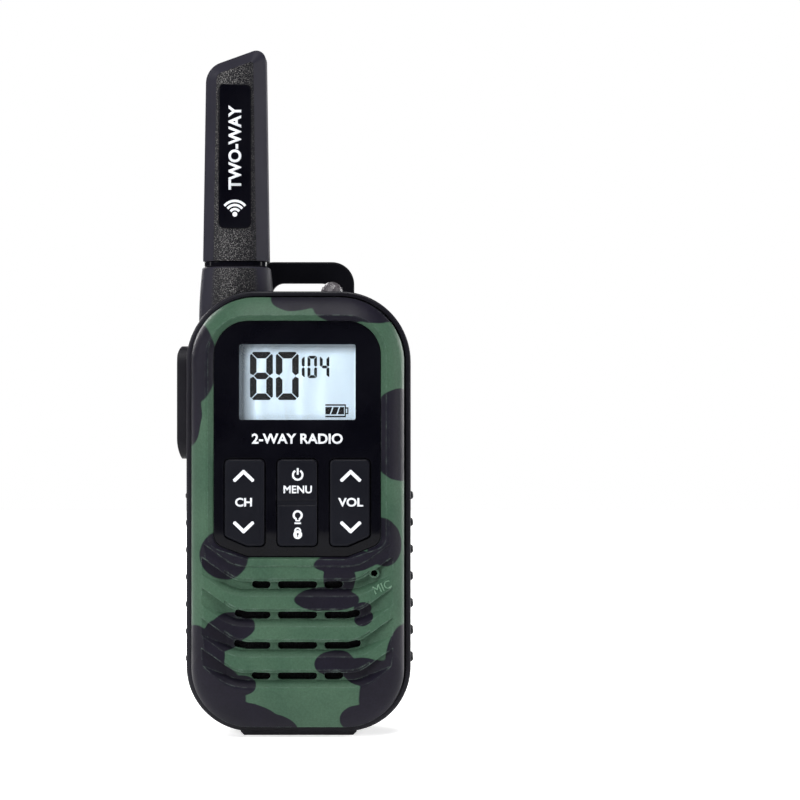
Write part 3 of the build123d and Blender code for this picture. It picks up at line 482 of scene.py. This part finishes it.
for node, label, body in (("channel_key", "CH", "channel"), ("volume_key", "VOL", "volume")):
    top, x, z = key_top(node)
    x += 0.2 if node == "volume_key" else -0.2
    for name, rise, up in (("up", 6.75, True), ("down", -6.1, False)):
        arrow = chevron(x, z + rise, up)
        flat_mark(f"{node}_{name}", arrow, top, PRINT_THICK, body, white_print)
    wide = len(label) * 2.1
    word(f"{node}_label", label, x, z + 0.15, 2.2, top, body, white_print, wide, 0.03)

top, x, z = key_top("menu_key")
x += 0.15
word("menu_key_label", "MENU", x, z + 3.35, 1.95, top, "menu", white_print, 7.1, 0.022)
power = stroke(arc(x, z + 7.0, 1.2, 128, 412), 0.48) + stroke([(x, z + 7.2), (x, z + 8.55)], 0.48)
neck = [(x - 0.42, z - 4.0), (x - 0.42, z - 4.45), (x + 0.42, z - 4.45), (x + 0.42, z - 4.0)]
bulb = stroke(arc(x, z - 3.1, 1.0, -62, 242, 20), 0.5) + stroke(neck, 0.32)
bulb += stroke([(x - 0.7, z - 5.1), (x + 0.7, z - 5.1)], 0.36)
menu_marks = {
    "power": power,
    "bulb": bulb,
    "lock": [arc(x, z - 7.95, 1.1, 0, 348.75, 31)],
    "shackle": stroke(arc(x, z - 7.0, 0.66, -10, 190), 0.38),
}
for name, mark in menu_marks.items():
    flat_mark(f"menu_key_{name}", mark, top, PRINT_THICK, "menu", white_print)
keyhole = [arc(x, z - 7.8, 0.28, 0, 337.5, 15),
           [(x - 0.14, z - 8.5), (x + 0.14, z - 8.5), (x + 0.1, z - 7.75), (x - 0.1, z - 7.75)]]
flat_mark("menu_key_keyhole", keyhole, top - PRINT_THICK, 0.015, "menu", M["key_plastic"])

panel_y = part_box("display_panel")[0].y / MM
word("panel_title", "2-WAY RADIO", 0, 75.4, 2.6, panel_y, "case", white_print, 22.8, 0.028)

# ---------------------------------------------------------------- display
lcd_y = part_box("lcd_glass")[0].y / MM
SEGMENTS = {"0": "abcdef", "1": "bc", "4": "bcfg", "8": "abcdefg"}


def digit(char, left, bottom, wide, tall, bar):
    """Mitred seven-segment bars of one character."""
    g = bar * 0.09
    h = bar / 2
    x0, x1, z0, zm, z1 = left + h, left + wide - h, bottom + h, bottom + tall / 2, bottom + tall - h

    def across(z, lean):
        """Horizontal bar; lean 1 widens upwards, -1 downwards, 0 points at both ends."""
        a, b = x0 + g, x1 - g
        if lean:
            return [(a + h, z - lean * h), (a - h * 0.55, z + lean * h * 0.55), (a - h * 0.2, z + lean * h),
                    (b + h * 0.2, z + lean * h), (b + h * 0.55, z + lean * h * 0.55), (b - h, z - lean * h)]
        return [(a, z), (a + h, z + h), (b - h, z + h), (b, z), (b - h, z - h), (a + h, z - h)]

    def upright(x, side, outer, middle):
        """Vertical bar from the corner at outer to the waist at middle, its flat side out."""
        d = 1 if outer > middle else -1
        a, b = middle + d * g, outer - d * g
        return [(x, a), (x + side * h, a + d * h * 0.6), (x + side * h, b + d * h * 0.2),
                (x + side * h * 0.55, b + d * h * 0.55), (x - side * h, b - d * h), (x - side * h, a + d * h)]

    shapes = {
        "a": across(z1, 1), "g": across(zm, 0), "d": across(z0, -1),
        "f": upright(x0, -1, z1, zm), "b": upright(x1, 1, z1, zm),
        "e": upright(x0, -1, z0, zm), "c": upright(x1, 1, z0, zm),
    }
    return [shapes[s] for s in SEGMENTS[char]]


marks = []
for char, left in (("8", -11.95), ("0", -5.45)):
    marks += digit(char, left, bottom=85.1, wide=5.75, tall=12.1, bar=1.65)
for char, left in (("1", -0.6), ("0", 2.5), ("4", 5.6)):
    marks += digit(char, left, bottom=90.6, wide=2.4, tall=5.6, bar=0.74)
flat_mark("display_digits", marks, lcd_y, WORD_THICK, "case", lcd_print)
battery = stroke([(7.1, 83.85), (12.0, 83.85)], 0.36) + stroke([(7.1, 80.95), (12.0, 80.95)], 0.36)
battery += stroke([(12.0, 83.9), (12.0, 80.9)], 0.3)
battery += stroke([(12.1, 83.1), (12.65, 83.1), (12.65, 81.7), (12.1, 81.7)], 0.3)
battery += [[(7.0, 81.5), (8.1, 81.5), (8.75, 83.35), (7.0, 83.35)],
            [(8.4, 81.5), (9.75, 81.5), (10.4, 83.35), (9.05, 83.35)],
            [(10.05, 81.5), (11.7, 81.5), (11.7, 83.35), (10.7, 83.35)]]
flat_mark("display_battery", battery, lcd_y, WORD_THICK, "case", lcd_print)

# ---------------------------------------------------------------- antenna label
label_low, label_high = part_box("antenna_label")
label_x = (label_low.x + label_high.x) / 2 / MM
label_y = label_low.y / MM
signal_z = 132.4
waves = [piece for r in (1.3, 2.35, 3.4) for piece in stroke(arc(label_x, signal_z, r, 42, 138, 14), 0.6)]
dot = [arc(label_x, signal_z, 0.62, 0, 337.5, 15)]
flat_mark("antenna_waves", waves + dot, label_y, PRINT_THICK, "case", white_print)
word("antenna_label_text", "TWO-WAY", label_x, 149.4, 3.3, label_y, "case", white_print, 21.5,
     0.03, turn=90)

# raised lettering that follows the grille's ribs, coloured paler than the shell as a painted highlight on its
# relief
painted_highlight_green = plastic("painted_highlight_green", srgb(78, 110, 88), 0.4, 0.1, 3000, 0.15, 0, 0.4)
mic = word("mic_label", "MIC", 21.3, 38.3, 2.0, -14.9, "case", painted_highlight_green, 4.5,
           thick=0.3, turn=24)
shell = nodes["front_shell"]
to_shell = shell.matrix_world.inverted()
IN_FRONT = -0.03         # metres, a plane clear of the shell's face
for v in mic.data.vertices:
    hit, spot, _, _ = shell.ray_cast(to_shell @ Vector((v.co.x, IN_FRONT, v.co.z)), Vector((0, 1, 0)))
    if hit:
        v.co.y = (shell.matrix_world @ spot).y - 0.05 * MM

# ---------------------------------------------------------------- stage
floor_mesh = bpy.data.meshes.new("floor")
side, near_edge, far_edge = 0.8, -0.35, 1.2
corners = [(-side, near_edge, 0), (side, near_edge, 0), (side, far_edge, 0), (-side, far_edge, 0)]
floor_mesh.from_pydata(corners, [], [(0, 1, 2, 3)])
floor = bpy.data.objects.new("floor", floor_mesh)
bpy.context.collection.objects.link(floor)
pale = plastic("pale_floor", (0.88, 0.88, 0.88, 1), 0.7, 0.0, 300, 0.01, 0)
pale_shader = pale.node_tree.nodes["Principled BSDF"].inputs
pale_shader["Emission Color"].default_value = (1, 1, 1, 1)
pale_shader["Emission Strength"].default_value = 0.57
floor.data.materials.append(pale)

# the studio is white to the camera, and dim to everything that it lights
world = bpy.data.worlds.new("studio")
bpy.context.scene.world = world
world.use_nodes = True
sky = world.node_tree.nodes["Background"]
sky.inputs["Color"].default_value = (1, 1, 1, 1)
seen = world.node_tree.nodes.new("ShaderNodeLightPath")
level = world.node_tree.nodes.new("ShaderNodeMapRange")
level.inputs["To Min"].default_value = 0.1
level.inputs["To Max"].default_value = 1.0
world.node_tree.links.new(seen.outputs["Is Camera Ray"], level.inputs["Value"])
world.node_tree.links.new(level.outputs[0], sky.inputs["Strength"])

sun = bpy.data.lights.new("overhead", "SUN")
sun.energy = 1.5
sun.angle = math.radians(50)
overhead = bpy.data.objects.new("overhead", sun)
bpy.context.collection.objects.link(overhead)
overhead.rotation_euler = (math.radians(12), 0, 0)


def soft_box(name, place, size, power, size_y=None, target=(0, 0, 0.08)):
    """An area light that faces the target."""
    lamp = bpy.data.lights.new(name, "AREA")
    lamp.shape = "RECTANGLE"
    lamp.size = size
    lamp.size_y = size_y or size
    lamp.energy = power
    obj = bpy.data.objects.new(name, lamp)
    bpy.context.collection.objects.link(obj)
    obj.location = place
    obj.rotation_euler = (Vector(target) - Vector(place)).to_track_quat("-Z", "Y").to_euler()


soft_box("key_light", (-0.62, -0.8, 0.42), 0.3, 6.8)
soft_box("top_light", (0.05, -0.3, 0.62), 0.25, 3.0, target=(0, 0, 0.1))
soft_box("rim_light", (0.7, -0.1, 0.25), 0.12, 2.2, size_y=0.5)
soft_box("side_light", (-0.7, -0.1, 0.3), 0.12, 1.2, size_y=0.5)
soft_box("back_light", (-0.5, 0.85, 0.5), 0.5, 9)
soft_box("back_fill", (0.7, 0.7, 0.25), 0.4, 5)

# ---------------------------------------------------------------- camera
front_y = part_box("front_shell")[0].y
lens = bpy.data.cameras.new("camera")
lens.lens = LENS
lens.sensor_width = SENSOR
camera = bpy.data.objects.new("camera", lens)
bpy.context.collection.objects.link(camera)
camera.location = (CAMERA_X, front_y - CAMERA_DISTANCE, CAMERA_Z)
camera.rotation_euler = (math.pi / 2, 0, 0)
bpy.context.scene.camera = camera
bpy.context.scene.view_settings.view_transform = "Standard"
